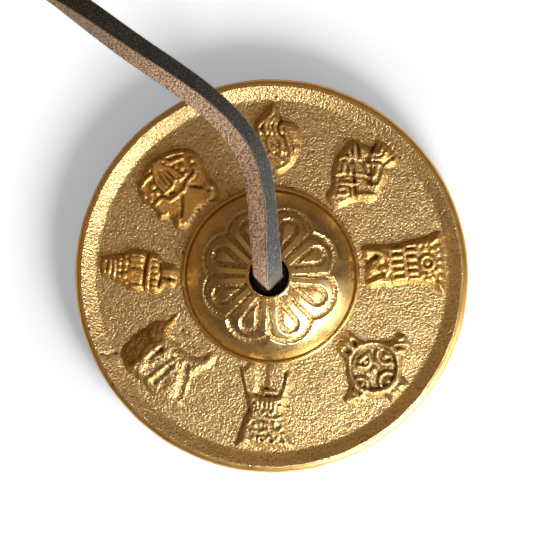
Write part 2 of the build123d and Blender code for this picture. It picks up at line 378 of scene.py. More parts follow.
# Thong: one square leather lace from mouth to mouth, made in a near and a far stretch
thongSpec = {
    "width": 3.75, "cornerRound": 0.32, "sidePoints": 9, "ringStep": 0.45,
    "nearRoute": [
        (0.0, 0.0, 8.6), (0.0, 0.0, 13.4), (0.0, 0.5, 16.6), (0.0, 3.0, 18.9), (-0.4, 7.0, 19.9),
        (-0.7, 12.9, 20.5), (-1.8, 19.9, 21.2), (-5.2, 25.3, 21.7), (-10.1, 30.1, 22.0),
        (-16.4, 34.7, 22.0), (-23.1, 39.2, 21.5), (-30.4, 44.7, 20.3), (-38.2, 50.4, 17.8),
        (-47.2, 55.2, 13.4), (-56.5, 58.6, 8.0), (-66.0, 61.4, 3.6), (-76.0, 62.6, 1.9),
    ],
    "farRoute": [
        (-86.0, 61.6, 1.9), (-95.0, 57.4, 3.4), (-101.4, 50.6, 8.0), (-104.8, 42.6, 13.2),
        (-105.2, 34.2, 17.2), (-102.9, 26.4, 19.6), (-99.6, 19.4, 20.5), (-96.1, 13.6, 20.1),
        (-93.8, 10.4, 18.9), (-92.3, 8.4, 16.6), (-92.0, 8.0, 13.4), (-92.0, 8.0, 8.6),
    ],
    # share of the length, and how far the dyed face has turned up from the right
    "turns": [
        (0, 45), (0.06, 42), (0.08, 32), (0.1, 30), (0.12, 34), (0.15, 38), (0.2, 43), (0.24, 47),
        (0.29, 55), (0.32, 63), (0.36, 78), (0.42, 86), (0.5, 90), (0.72, 90), (0.86, 70), (0.95, 45),
        (1, 45),
    ],
    # the lace bends between a neck in the hole and a rise past it, so far along the way it leaves
    "neck": 11.0, "rise": 18.0, "bend": 6.0, "farTowards": (-0.591, 0.806),
}


def smoothLine(points):
    curve = bpy.data.curves.new("thongLine", "CURVE")
    curve.dimensions = "3D"
    spline = curve.splines.new("NURBS")
    spline.points.add(len(points) - 1)
    for knot, place in zip(spline.points, points):
        knot.co = (*place, 1)
    spline.order_u = 3
    spline.use_endpoint_u = True
    spline.resolution_u = 20
    obj = bpy.data.objects.new("thongLine", curve)
    mesh = bpy.data.meshes.new_from_object(obj)
    line = np.array([v.co for v in mesh.vertices])
    bpy.data.objects.remove(obj)
    bpy.data.curves.remove(curve)
    bpy.data.meshes.remove(mesh)
    return line


def lengthsAlong(line):
    return np.concatenate([[0], np.cumsum(np.linalg.norm(np.diff(line, axis=0), axis=1))])


def evenSteps(line, step):
    along = lengthsAlong(line)
    at = np.linspace(0, along[-1], int(along[-1] / step) + 1)
    return np.stack([np.interp(at, along, line[:, k]) for k in range(3)], axis=1)


def laceSection(width):
    # square with rounded corners, counted round from the middle of the dyed face
    half = width / 2
    count = 4 * thongSpec["sidePoints"]
    section = []
    for k in range(count):
        turn = 2 * math.pi * (k + 0.5) / count
        x, y = math.cos(turn), math.sin(turn)
        reach = half / max(abs(x), abs(y))
        x, y = x * reach, y * reach
        inner = half - thongSpec["cornerRound"]
        ox, oy = abs(x) - inner, abs(y) - inner
        if ox > 0 and oy > 0:
            scale = thongSpec["cornerRound"] / math.hypot(ox, oy)
            x = math.copysign(inner + ox * scale, x)
            y = math.copysign(inner + oy * scale, y)
        section.append((x, y))
    return section


def laceFrames(line):
    ahead = np.gradient(line, axis=0)
    ahead /= np.linalg.norm(ahead, axis=1)[:, None]
    side = np.cross(ahead, (0, 0, 1))
    flat = np.linalg.norm(side, axis=1)
    good = np.flatnonzero(flat > 0.08)
    nearest = good[np.abs(np.arange(len(line))[:, None] - good[None, :]).argmin(1)]
    side = side[nearest] / flat[nearest][:, None]
    side -= (side * ahead).sum(1)[:, None] * ahead
    side /= np.linalg.norm(side, axis=1)[:, None]
    return side, np.cross(side, ahead)


def laceTube(name, line, side, up, turns, lengths, width):
    section = laceSection(width)
    count = len(section)
    points, faces = [], []
    for place, across, over, turn in zip(line, side, up, np.radians(turns)):
        dyed = across * math.cos(turn) + over * math.sin(turn)
        cut = over * math.cos(turn) - across * math.sin(turn)
        points += [place + (dyed * x + cut * y) * mm for x, y in section]
    for ring in range(len(line) - 1):
        for k in range(count):
            a, b = ring * count + k, ring * count + (k + 1) % count
            faces.append((a, b, b + count, a + count))
    faces.append(tuple(reversed(range(count))))
    faces.append(tuple(range((len(line) - 1) * count, len(line) * count)))
    obj = meshFrom(name, points, faces)
    setValue(obj, "dyed", np.tile([p[0] / (width / 2) for p in section], len(line)))
    setValue(obj, "across", np.tile([p[1] / (width / 2) for p in section], len(line)))
    setValue(obj, "along", np.repeat(lengths, count))
    obj.data.materials.append(leather)
    shadeSmooth(obj, 40)
    return obj


def makeThong():
    route = [firstCentre + Vector(p) * mm for p in thongSpec["nearRoute"] + thongSpec["farRoute"]]
    line = evenSteps(smoothLine(route), thongSpec["ringStep"] * mm)
    side, up = laceFrames(line)
    lengths = lengthsAlong(line)
    share = lengths / lengths[-1]
    turns = np.interp(share, *np.array(thongSpec["turns"]).T)
    ends = Vector(thongSpec["nearRoute"][-1]) + Vector(thongSpec["farRoute"][0])
    parting = firstCentre + ends / 2 * mm
    cut = int(np.linalg.norm(line - np.array(parting), axis=1).argmin())
    stretches = {}
    for name, rows in (("near_lace", slice(0, cut + 1)), ("far_lace", slice(cut, None))):
        stretch = (values[rows] for values in (line, side, up, turns, lengths))
        obj = laceTube(name, *stretch, thongSpec["width"])
        stretches[name] = (obj, line[rows])
    return stretches


def lineLength(line):
    return float(np.linalg.norm(np.diff(line, axis=0), axis=1).sum())


thong = makeThong()
print("thong made, mm long:", [round(lineLength(line) / mm, 1) for obj, line in thong.values()])


# Casting: boss, plate and symbols, modelled round the origin and then placed twice
castingSpec = {
    "rimRadius": 35.0, "rimHeight": 5.6, "edgeRound": 1.15, "crestWidth": 0.1,
    "bevelWidth": 2.4, "bevelRound": 1.2, "rimSlip": 0.07, "edgeStray": 0.15,
    "plateSteps": 540, "topStep": 0.28, "underStep": 1.2,
    "fieldHeight": 4.4, "fieldRise": 0.6, "fieldMiddle": 0.45, "sandDepth": 0.05, "swellDepth": 0.06,
    "footWidth": 8.0, "footRound": 0.8, "footRelief": 0.6,
    "hollowRadius": 12.8, "flare": 0.4, "seatRadius": 15.0, "seatHeight": 3.0,
    "beadRadius": 15.8, "beadCrest": 15.4, "beadFoot": 15.12, "beadHeight": 1.22, "beadEdge": 0.65,
    "bossHeight": 12.12, "domeRadius": 19.5, "wall": 3.0, "grooveDepth": 0.22,
    "bossSteps": 640, "bossStep": 0.9, "domeStep": 0.12, "ceilingStep": 0.8,
    "holeRadius": 3.55, "lipWidth": 0.45, "lipHeight": 0.12,
}
fieldRadius = (castingSpec["rimRadius"] - castingSpec["edgeRound"] - castingSpec["crestWidth"]
               - castingSpec["bevelWidth"])
lipRadius = castingSpec["holeRadius"] + castingSpec["lipWidth"]
domeMiddle = (castingSpec["bossHeight"] - castingSpec["lipHeight"]
              - math.sqrt(castingSpec["domeRadius"] ** 2 - lipRadius ** 2))


def domeArc(start, end, ball, step):
    count = int(abs(end - start) / step) + 1
    return [(r, domeMiddle + math.sqrt(ball * ball - r * r)) for r in np.linspace(start, end, count)]


def roundedProfile(corners):
    # corners of a closed outline, each with the radius that rounds it
    points = []
    for i, (x, y, radius) in enumerate(corners):
        here = Vector((x, y))
        if radius == 0:
            points.append(here)
            continue
        back = (Vector(corners[i - 1][:2]) - here).normalized()
        on = (Vector(corners[(i + 1) % len(corners)][:2]) - here).normalized()
        half = back.angle(on) / 2
        middle = here + (back + on).normalized() * (radius / math.sin(half))
        start = here + back * (radius / math.tan(half)) - middle
        end = here + on * (radius / math.tan(half)) - middle
        sweep = math.pi - 2 * half
        for t in np.linspace(0, 1, 7):
            arm = start * math.sin((1 - t) * sweep) + end * math.sin(t * sweep)
            points.append(middle + arm / math.sin(sweep))
    return [tuple(p) for p in points]


def closerPoints(profile, stepFor):
    points = []
    for a, b in zip(profile, profile[1:] + profile[:1]):
        count = max(1, round(math.dist(a, b) / stepFor(a, b)))
        for k in range(count):
            points.append((a[0] + (b[0] - a[0]) * k / count, a[1] + (b[1] - a[1]) * k / count))
    return points


def spinProfile(name, profile, steps):
    bpy.ops.mesh.primitive_plane_add(size=mm)
    obj = bpy.context.object
    obj.name = name
    useOnly(obj)
    setMode("EDIT")
    selectAll()
    bpy.ops.mesh.merge(type="CENTER")
    bpy.ops.transform.translate(value=(profile[0][0] * mm, 0, profile[0][1] * mm))
    for (r, z), (nextR, nextZ) in zip(profile, profile[1:] + profile[:1]):
        bpy.ops.mesh.extrude_region_move(
            TRANSFORM_OT_translate={"value": ((nextR - r) * mm, 0, (nextZ - z) * mm)})
    selectAll()
    bpy.ops.mesh.remove_doubles(threshold=0.0001 * mm)
    setMode("OBJECT")
    turn = obj.modifiers.new("turn", "SCREW")
    turn.steps = turn.render_steps = steps
    turn.use_merge_vertices = True
    turn.merge_threshold = 0.001 * mm
    bpy.ops.object.modifier_apply(modifier=turn.name)
    setMode("EDIT")
    selectAll()
    bpy.ops.mesh.remove_doubles(threshold=0.001 * mm)
    bpy.ops.mesh.normals_make_consistent(inside=False)
    setMode("OBJECT")
    return obj


lotusSpec = {
    "petals": 8, "firstPetal": 22.5, "reach": 12.1, "notch": 10.45, "start": 4.25,
    "ribNarrow": 0.42, "ribWide": 0.98, "scallopWidth": 0.66, "dropWidth": 0.86,
    "dropCentre": 9.0, "dropRadius": 1.4, "dropTip": 4.5, "depth": 0.5, "softness": 0.13, "ragged": 0.11,
}


def lotusDepth(x, y):
    # 1 at the floor of the cuts round the petals and their drops, 0 on the dome
    s = lotusSpec
    wedge = math.pi / s["petals"]
    radius = np.hypot(x, y)
    turn = np.arctan2(y, x) - math.radians(s["firstPetal"])
    turn = np.abs((turn + wedge) % (2 * wedge) - wedge)
    u, v = radius * np.cos(turn), radius * np.sin(turn)
    soft = s["softness"]

    def cut(distance, width):
        return 1 - easeStep(width / 2 - soft, width / 2 + soft, distance)

    share = np.clip((radius - s["start"]) / (s["notch"] - s["start"]), 0, 1)
    ribWidth = s["ribNarrow"] + (s["ribWide"] - s["ribNarrow"]) * share
    rib = cut(radius * np.sin(wedge - turn), ribWidth)
    rib *= easeStep(s["start"] - soft, s["start"] + soft, radius)
    rib *= 1 - easeStep(s["notch"], s["notch"] + 2 * soft, radius)
    notchU, notchV = s["notch"] * math.cos(wedge), s["notch"] * math.sin(wedge)
    reach = s["reach"]
    middle = (reach ** 2 - notchU ** 2 - notchV ** 2) / (2 * (reach - notchU))
    scallop = cut(np.abs(np.hypot(u - middle, v) - (reach - middle)), s["scallopWidth"])
    scallop *= easeStep(notchU - 0.8, notchU - 0.3, u)
    span = s["dropCentre"] - s["dropTip"]
    lean = math.asin(s["dropRadius"] / span)
    alongSide = (u - s["dropTip"]) * math.cos(lean) + v * math.sin(lean)
    offSide = v * math.cos(lean) - (u - s["dropTip"]) * math.sin(lean)
    onBall = np.hypot(u - s["dropCentre"], v) - s["dropRadius"]
    offDrop = np.where(alongSide > span * math.cos(lean), onBall, offSide)
    offDrop = np.where(alongSide < 0, np.hypot(u - s["dropTip"], v), offDrop)
    drop = cut(np.abs(offDrop), s["dropWidth"])
    return np.maximum(np.maximum(rib, scallop), drop)


def makeBoss():
    c = castingSpec
    foot = c["beadFoot"]
    ceiling = c["domeRadius"] - c["wall"]
    footHeight = domeMiddle + math.sqrt(c["domeRadius"] ** 2 - foot ** 2)
    outside = [
        (c["beadRadius"], c["seatHeight"], 0), (c["beadRadius"], c["fieldHeight"] + c["beadEdge"], 0.3),
        (c["beadCrest"], c["fieldHeight"] + c["beadHeight"], 0.2),
        (foot, footHeight - c["grooveDepth"], 0),
    ]
    arcStart = foot - c["domeStep"]
    dome = [(r, z, 0) for r, z in domeArc(arcStart, lipRadius, c["domeRadius"], c["domeStep"])]
    lip = [(lipRadius - c["lipHeight"], c["bossHeight"], 0.08), (c["holeRadius"], c["bossHeight"], 0.16)]
    hollow = domeArc(c["holeRadius"], c["hollowRadius"], ceiling, c["ceilingStep"])
    inside = [(r, z, 0) for r, z in hollow]
    seat = [(c["hollowRadius"], c["seatHeight"], 0)]
    profile = roundedProfile(outside + dome + lip + inside + seat)
    boss = spinProfile("boss", closerPoints(profile, lambda a, b: c["bossStep"]), c["bossSteps"])
    points = pointsOf(boss) / mm
    radius = np.hypot(points[:, 0], points[:, 1])
    fromMiddle = points - (0, 0, domeMiddle)
    ball = np.linalg.norm(fromMiddle, axis=1)
    onDome = (np.abs(ball - c["domeRadius"]) < 0.02) & (radius < foot)
    strayX, strayY = (lotusSpec["ragged"] * unevenness(points, 0.45, seed) for seed in (11.0, 17.0))
    depth = np.where(onDome, lotusDepth(points[:, 0] + strayX, points[:, 1] + strayY), 0)
    sink = depth * lotusSpec["depth"] * (1 + 0.3 * unevenness(points, 0.4, 3.0))
    points -= fromMiddle / ball[:, None] * sink[:, None]
    movePoints(boss, points * mm)
    topSide = onDome | (points[:, 2] > c["fieldHeight"])
    grooveOfBead = np.abs(radius - foot + 0.1) < 0.25
    setValue(boss, "polish", np.where(topSide & (radius > c["holeRadius"] + 0.05), 1 - depth, 0.15))
    setValue(boss, "crevice", np.clip(depth * 0.3 + 0.7 * grooveOfBead * onDome, 0, 1))
    setValue(boss, "turned", radius)
    setValue(boss, "rough", np.where(depth > 0.5, bronzeSpec["sandRough"], bronzeSpec["polishedRough"]))
    shadeSmooth(boss, 50)
    return boss


def fieldRise(radius):
    # the field climbs a little from the foot of the bevel to the boss
    c = castingSpec
    share = np.clip((fieldRadius - radius) / (fieldRadius - c["beadRadius"]), 0, 1) - c["fieldMiddle"]
    return c["fieldRise"] * share * (1 - easeStep(fieldRadius, fieldRadius + c["bevelWidth"], radius))


def makePlate():
    c = castingSpec
    crest = c["rimRadius"] - c["edgeRound"]
    footOuter = c["rimRadius"] - c["footRound"]
    footInner = footOuter - c["footWidth"]
    corners = [
        (c["hollowRadius"], c["seatHeight"], 0), (c["hollowRadius"], c["footRelief"] + c["flare"], 0),
        (c["hollowRadius"] + c["flare"], c["footRelief"], 0),
        (footInner - c["footRelief"], c["footRelief"], 0.2), (footInner, 0, 0.2),
        (c["rimRadius"], 0, c["footRound"]), (c["rimRadius"], c["rimHeight"], c["edgeRound"]),
        (crest - c["crestWidth"], c["rimHeight"], 0.3), (fieldRadius, c["fieldHeight"], c["bevelRound"]),
        (c["seatRadius"], c["fieldHeight"], 0), (c["seatRadius"], c["seatHeight"], 0),
    ]

    def stepFor(a, b):
        return c["topStep"] if min(a[1], b[1]) > c["fieldHeight"] - 0.1 else c["underStep"]

    plate = spinProfile("plate", closerPoints(roundedProfile(corners), stepFor), c["plateSteps"])
    points = pointsOf(plate) / mm
    radius = np.hypot(points[:, 0], points[:, 1])
    top = points[:, 2] > c["fieldHeight"] - 0.02
    stray = c["edgeStray"] * unevenness(points * (1, 1, 0), 4.0, 9.0)
    edge = easeStep(crest - 0.2, crest + 0.25, radius + stray)
    sand = c["sandDepth"] * unevenness(points, 0.75, 1.0) + c["swellDepth"] * unevenness(points, 2.6, 5.0)
    points[:, 2] += top * (1 - edge) * sand
    points[:, 2] += top * fieldRise(radius)
    slip = c["rimSlip"] * unevenness(points * (1, 1, 0), 4.0, 2.0)
    slip *= easeStep(fieldRadius, crest, radius) * top
    points[:, :2] *= (1 + slip / np.maximum(radius, 1))[:, None]
    movePoints(plate, points * mm)
    under = points[:, 2] < c["footRelief"] + 0.3
    polish = np.where(top, edge, np.where(under, 0.55, 0.95))
    setValue(plate, "polish", polish * (radius > c["seatRadius"]))
    setValue(plate, "crevice", 0.35 * top * (1 - easeStep(0, 0.7, radius - c["beadRadius"])))
    setValue(plate, "turned", radius)
    # painted warm reflection on the rim's edge, a little on the underside
    setValue(plate, "warmTintAndPaintedReflectionShare", np.where(top, 0.55 * edge, 0.25))
    rough = (bronzeSpec["sandRough"], bronzeSpec["rimRough"])
    setValue(plate, "rough", np.interp(np.where(top, edge, 1), (0, 1), rough))
    shadeSmooth(plate, 50)
    return plate


# Eight symbols, seen with the top outwards. Places (across, outwards), widths and radii are in hundredths
# of the half length. Ridges and grooves are (width, height, lines), beads (radius, height, places), hollows
# (depth, outline), rings (across, outwards, radius, width, height). Heights are in millimetres.
symbolSpec = {
    "circle": 23.55, "half": 7.2, "step": 0.115, "reach": (1.3, 1.08),
    "padHeight": 0.84, "sink": 0.22, "wallOut": 0.55, "wallIn": 1.1, "ragged": 0.14, "crestEnd": 1.12,
    "relief": 1.25,    # factor on the heights, but not on the pad's and the low ridges'
    "trim": 0.14, "root": 0.25, "castDepth": (0.06, 0.03), "castSize": (1.5, 0.6),
    # the crevice depth and the wall darkening set patina with painted shade; the flank values paint shade
    # on the fishes' falling flank
    "creviceDepth": 0.075, "proudHeight": 0.2, "wallPatinaAndShade": 0.36, "flankPaintedShade": 0.7, "flankPolish": 0.6,
}


def arc(u, v, radius, start, end, count=9):
    turns = np.radians(np.linspace(start, end, count))
    return [(u + radius * math.cos(a), v + radius * math.sin(a)) for a in turns]


def uprights(places, low, high):
    return [[(u, low), (u, high)] for u in places]


# Each symbol's warm strength sets its painted warm reflection, stronger for the symbols on the shaded side
symbols = {}
symbols["conch"] = {
    "direction": 87, "warmTintAndPaintedReflection": 0.7,
    "outline": [
        (-14, 100), (0, 75), (10, 58), (34, 55), (52, 40), (57, 10), (50, -30), (30, -60), (2, -76),
        (-30, -66), (-52, -30), (-58, 10), (-62, 45), (-40, 75),
    ],
    "ridges": [
        (12, 0.3, [
            [(-14, 96), (-17, 74), (-34, 56), (-55, 46)], [(-3, 84), (-6, 66), (-17, 55)],
            [(-30, 80), (-42, 65), (-56, 56)],
        ]),
        (10, 0.32, [
            [(-26, 58), (-33, 42), (-28, 27)], [(-14, 60), (-22, 44), (-17, 26)],
            [(-1, 60), (-10, 44), (-5, 26)], [(13, 52), (5, 42), (8, 28)],
            [(-46, 46), (-52, 36), (-46, 26)],
        ]),
        (10, 0.22, [
            [(-4, 20), (8, 8), (11, -22)], [(17, 30), (25, 8), (31, -12), (34, -30)],
            [(-20, -26), (-4, -32), (12, -43)], [(-25, 10), (-20, -10), (-10, -20)],
        ]),
        (16, 0.26, [[(49, -10), (44, -36), (24, -60), (0, -70)]]),
    ],
    "beads": [(6, 0.2, [(-10, -10)]), (5, 0.2, [(0, -14), (20, -20)])],
}
symbols["endlessKnot"] = {
    "direction": 50, "warmTintAndPaintedReflection": 0.5,
    "outline": [
        (30, 103), (50, 97), (58, 80), (50, 60), (64, 45), (70, 20), (76, -5), (72, -30), (40, -55),
        (20, -94), (-18, -94), (-30, -60), (-46, -42), (-62, -10), (-66, 20), (-62, 62), (-30, 72),
        (-12, 76), (-16, 100),
    ],
    "ridges": [
        (10, 0.26, [
            [(2, 35), (30, 56)], [(0, -2), (20, 12)], [(40, 0), (60, 12), (58, 26)],
            [(-17, -42), (13, -21)], [(44, -28), (70, -10)], [(36, -36), (66, -20)],
            [(-60, 2), (-50, 14), (-36, 20)], [(-39, 2), (-27, -20), (-36, -34)],
            [(-23, 10), (-10, -12), (-20, -20)], [(27, 50), (38, 28), (30, 16)], [(47, 50), (60, 24)],
            [(-47, 52), (-30, 30), (-36, 22)], [(-55, 36), (-42, 28)], [(-30, 55), (-14, 36)],
            [(5, 98), (12, 76), (2, 68)], [(20, 98), (24, 72), (12, 60)],
            [(-8, -52), (4, -42), (14, -50), (6, -60), (-2, -66)], [(18, -35), (30, -48)],
            [(-2, 62), (6, 52)],
        ]),
    ],
    "grooves": [
        (8, 0.3, [
            [(-52, 64), (-12, 34), (30, 16), (38, 2)], [(-30, 20), (0, -8), (38, -48)],
            [(-44, -44), (-2, -6), (24, 8), (45, 5)], [(-6, 50), (12, 38), (30, 18)],
            [(-14, 94), (-6, 66)], [(36, 60), (44, 95)],
        ]),
    ],
    "beads": [(11, 0.25, [(47, 78)])],
}
symbols["banner"] = {
    "direction": 6, "warmTintAndPaintedReflection": 0.85,
    "outline": [
        (50, -98), (56, -60), (57, -25), (53, 5), (57, 35), (68, 65), (90, 94), (40, 100), (-20, 102),
        (-66, 100), (-62, 75), (-54, 40), (-49, 10), (-47, -25), (-50, -60), (-46, -98), (0, -94),
    ],
    "ridges": [
        (12, 0.34, uprights((-42, -24, -6, 12, 29, 45), 15, 30)),
        (10, 0.3, uprights((-32, -14, 4, 22, 40), -22, -4)),
        (9, 0.14, [[(-44, 6), (50, 6)], [(-44, -28), (-20, -29), (50, -27)]]),
        (12, 0.24, [[(-38, -94), (-32, -62), (-18, -40), (2, -34), (20, -40), (33, -66), (44, -95)]]),
        (9, 0.26, [
            arc(8, 60, 16, 60, 260), arc(8, 60, 16, -70, 50), [(60, 82), (86, 93)],
            [(-50, 90), (-42, 80)],
        ]),
    ],
    "grooves": [(13, 0.42, [[(-20, -66), (-8, -94)], [(26, -52), (38, -94)]])],
    "beads": [
        (9, 0.3, [(-12, -53)]), (10, 0.3, [(12, -50)]), (14, 0.3, [(12, -76)]),
        (6, 0.2, [(8, 60), (-22, 74), (30, 78)]),
        (7, 0.25, [(-27, 90), (-12, 94), (7, 92), (24, 90), (44, 90)]),
        (6, 0.22, [(-40, 74), (-39, 60), (-40, 45), (45, 68), (48, 54), (37, 45)]),
        (7, 0.22, [(-26, 56), (34, 62)]),
    ],
}
symbols["wheel"] = {
    "direction": -41.4, "warmTintAndPaintedReflection": 0.2,
    "outline": [
        (32, 105), (36, 80), (52, 66), (70, 48), (100, 40), (115, 22), (110, 8), (78, 0), (58, -28),
        (35, -50), (30, -86), (2, -93), (-26, -90), (-30, -50), (-52, -28), (-72, -2), (-104, 4),
        (-110, 20), (-96, 42), (-62, 50), (-44, 66), (-28, 80), (-24, 105),
    ],
    "hollows": [(0.42, arc(0, 11, 58, 0, 350, 24))],
    "ridges": [
        (14, 0.28, [arc(0, 11, 64, 0, 360, 33)]),
        (10, 0.42, [
            arc(3, 60, 20, 195, 345), arc(-42, 14, 22, -70, 70), [(53, 36), (36, 18), (48, 0)],
            [(-16, -20), (-2, -2), (12, -2), (24, -18)], [(-6, -22), (12, -24)],
        ]),
        (9, 0.28, [
            [(-16, 100), (-6, 88)], [(25, 100), (32, 86)], [(6, 102), (6, 84)], [(-96, 34), (-76, 16)],
            [(-80, 42), (-70, 32)], [(-104, 18), (-90, 8)], [(78, 24), (82, 6)], [(80, 36), (96, 22)],
            [(96, 36), (108, 18)], [(-24, -56), (-18, -80)], [(27, -56), (20, -78)],
        ]),
        (14, 0.3, [[(0, -54), (0, -74), (2, -90)]]),
    ],
    "grooves": [
        (10, 0.36, [
            [(-10, -57), (-18, -70)], [(12, -57), (18, -70)], [(-90, 38), (-72, 20)], [(72, 28), (76, 8)],
            [(90, 36), (102, 22)],
        ]),
    ],
    "beads": [
        (10, 0.45, [(6, 16)]), (9, 0.4, [(3, 60)]), (8, 0.4, [(-40, 15)]), (7, 0.4, [(50, 18)]),
        (8, 0.36, [(4, -12)]),
    ],
}
symbols["parasol"] = {
    "direction": -92, "warmTintAndPaintedReflection": 0.2,
    "outline": [
        (68, -97), (60, -60), (52, -26), (45, 4), (56, 30), (64, 60), (74, 98), (30, 94), (-20, 98),
        (-68, 95), (-60, 65), (-52, 30), (-47, 5), (-50, -26), (-56, -62), (-58, -95), (-46, -90),
        (-36, -62), (-27, -38), (-2, -30), (24, -34), (40, -55), (48, -82), (56, -97),
    ],
    "ridges": [
        (10, 0.2, [[(-46, -24), (0, -25), (46, -24)]]),
        (9, 0.22, [
            [(-45, 16), (-25, 24), (10, 22), (38, 12)], arc(-24, 36, 20, 10, 190),
            [(-46, 62), (-20, 63), (-5, 53), (15, 60), (34, 55)], [(-62, 92), (-54, 76), (-40, 66)],
            [(-40, 92), (-30, 80), (-32, 68)],
        ]),
        (7, 0.26, uprights((-20, -10, 0, 12, 22), -18, -4)),
        (7, 0.2, [arc(-10, 6, 8, 0, 180), arc(10, 6, 8, 0, 180), arc(28, 4, 7, 0, 180)]),
        (10, 0.24, [[(-50, -40), (-52, -80)], [(50, -45), (58, -85)]]),
    ],
    "rings": [
        (-33, -14, 7, 5, 0.24), (33, -14, 7, 5, 0.24), (46, 30, 8, 6, 0.26), (-13, 78, 9, 6, 0.24),
        (10, 78, 8, 6, 0.24), (-55, 86, 7, 5, 0.2),
    ],
    "beads": [
        (7, 0.24, [(2, 40)]), (6, 0.24, [(14, 38)]), (6, 0.2, [(27, 42), (0, 92), (-25, 92)]),
        (7, 0.22, [(-24, 35)]), (8, 0.2, [(30, 75)]), (9, 0.16, [(50, 80)]),
    ],
    "lowRidges": [
        (12, 0.86, [[(-20, -40), (6, -41)]]), (46, 0.42, [[(-22, -50), (-22, -95)]]),
        (34, 0.42, [[(37, -52), (40, -92)]]),
    ],
}
symbols["fishes"] = {
    "direction": -140, "warmTintAndPaintedReflection": 0.45, "wallIn": 1.6, "lean": 0.75, "crest": 0.42, "uneven": 3.0,
    "rounding": 4, "worn": 0.35,
    "outline": [
        (84, -97), (80, -68), (100, -48), (114, -20), (116, 30), (108, 80), (60, 96), (0, 90), (-50, 88),
        (-90, 70), (-106, 46), (-92, 12), (-72, -20), (-80, -55), (-72, -98), (-46, -97), (-38, -66),
        (-12, -46), (28, -42), (60, -62), (74, -97),
    ],
    "ridges": [
        (26, 0.2, [[(40, 50), (52, 30), (53, 5)]]), (28, 0.16, [[(-60, 48), (-46, 32), (-28, 8)]]),
        (10, 0.2, [[(0, 76), (-3, 50), (-3, 14), (-8, -24)]]),
        (20, 0.12, [[(-98, 50), (-84, 24), (-66, 0)], [(-60, -36), (-66, -62), (-56, -94)]]),
        (12, 0.16, [[(20, 86), (30, 76), (34, 62)], [(36, 86), (46, 76), (50, 64)]]),
    ],
    "grooves": [
        (15, 0.34, [[(-84, 40), (-66, 12), (-52, -6), (-36, -24)]]),
        (12, 0.26, [[(36, 40), (38, 16), (34, -2)], [(-16, 62), (-14, 34), (-12, 10)]]),
    ],
    "rings": [(-24, -13, 10, 8, 0.3)],
    "beads": [
        (5, 0.3, [(-24, -13)]), (13, 0.3, [(20, -6)]), (10, 0.24, [(24, -30)]), (8, 0.2, [(8, -20)]),
    ],
}
symbols["vase"] = {
    "direction": 177.4, "warmTintAndPaintedReflection": 1.0,
    "outline": [
        (14, -92), (20, -64), (42, -46), (47, -22), (51, 2), (50, 22), (38, 44), (35, 70), (28, 92),
        (5, 98), (-18, 92), (-23, 74), (-34, 50), (-43, 34), (-56, 17), (-54, -12), (-56, -45),
        (-42, -66), (-36, -92),
    ],
    "ridges": [
        (9, 0.28, [
            [(-8, 87), (10, 93), (27, 82)], [(-19, 80), (0, 72), (26, 72)],
            [(-26, 64), (0, 60), (27, 62)],
        ]),
        (13, 0.26, uprights((-42, 14, 27, 40), -4, 18)), (26, 0.22, uprights((-20, -10), -2, 16)),
        (10, 0.24, [[(-50, -21), (0, -25), (42, -31)]]),
        (12, 0.24, uprights((-43, -29, -14, 2, 18, 32), -42, -36)), (24, 0.3, [[(-5, -62), (-5, -92)]]),
        (14, 0.24, [[(-36, -62), (-27, -88)]]),
    ],
    "grooves": [
        (7, 0.45, [[(-48, -14), (0, -15), (48, -24)]]),
        (6, 0.34, [[(-42, -50), (-10, -55), (20, -53)], [(-16, -60), (-20, -90)]]),
    ],
    "beads": [
        (7, 0.26, [(-30, 47), (36, 34)]), (6, 0.26, [(-15, 49), (1, 49), (16, 49), (30, 48)]),
        (8, 0.28, [(-37, 33)]), (9, 0.3, [(-15, 35), (18, 33)]), (6, 0.2, [(2, 34)]),
    ],
}
symbols["lotus"] = {
    "direction": 135.6, "warmTintAndPaintedReflection": 1.0,
    "outline": [
        (47, -97), (66, -78), (70, -40), (84, -10), (90, 25), (72, 50), (40, 72), (0, 86), (-40, 78),
        (-76, 60), (-90, 35), (-86, -5), (-94, -32), (-72, -50), (-80, -78), (-58, -97), (-6, -90),
    ],
    "ridges": [
        (10, 0.3, [
            [(-75, 57), (-54, 60), (-30, 58)], [(-60, 71), (-40, 74), (-20, 72)],
            [(17, 53), (34, 43), (54, 34)], [(26, 68), (48, 58), (66, 45)],
            [(10, 72), (20, 58), (24, 46)],
        ]),
        (8, 0.28, [
            [(-24, 12), (-22, 40), (-5, 76)], [(-13, 12), (-10, 40), (-2, 70)],
            [(-1, 12), (0, 40), (0, 74)], [(11, 12), (10, 40), (2, 72)],
            [(-33, 10), (-32, 36), (-16, 66)], [(20, 8), (18, 30), (10, 50)],
        ]),
        (9, 0.26, [
            [(-80, 0), (-52, -2), (-42, -19), (-15, -25), (5, -25), (25, -17), (45, -18), (60, -8)],
            [(-37, 4), (-10, 2), (4, 8), (14, 0), (36, 0)],
        ]),
        (14, 0.26, [[(-76, -76), (-54, -64)], [(-90, -30), (-76, -38)], [(40, -58), (62, -70)]]),
        (7, 0.24, [[(a, -94), (a * 0.86, -84)] for a in (-50, -38, -26, -14, 0, 12, 24, 36)]),
    ],
    "grooves": [
        (7, 0.34, [[(-10, -30), (-30, -50), (-50, -66)], [(20, -30), (34, -48), (44, -70)]]),
        (8, 0.3, [[(-27, -8), (-20, -10)], [(24, -34), (28, -38)]]),
    ],
    "beads": [
        (8, 0.3, [(-81, 36), (-46, 37), (-50, 18), (37, 18), (67, 14)]), (6, 0.24, [(-78, 16)]),
        (7, 0.26, [(60, -2)]), (6, 0.22, [(30, 30)]), (6, 0.2, [(48, -66), (55, -55)]),
        (5, 0.2, [(62, -64)]), (7, 0.2, [(-62, 26)]),
    ],
}


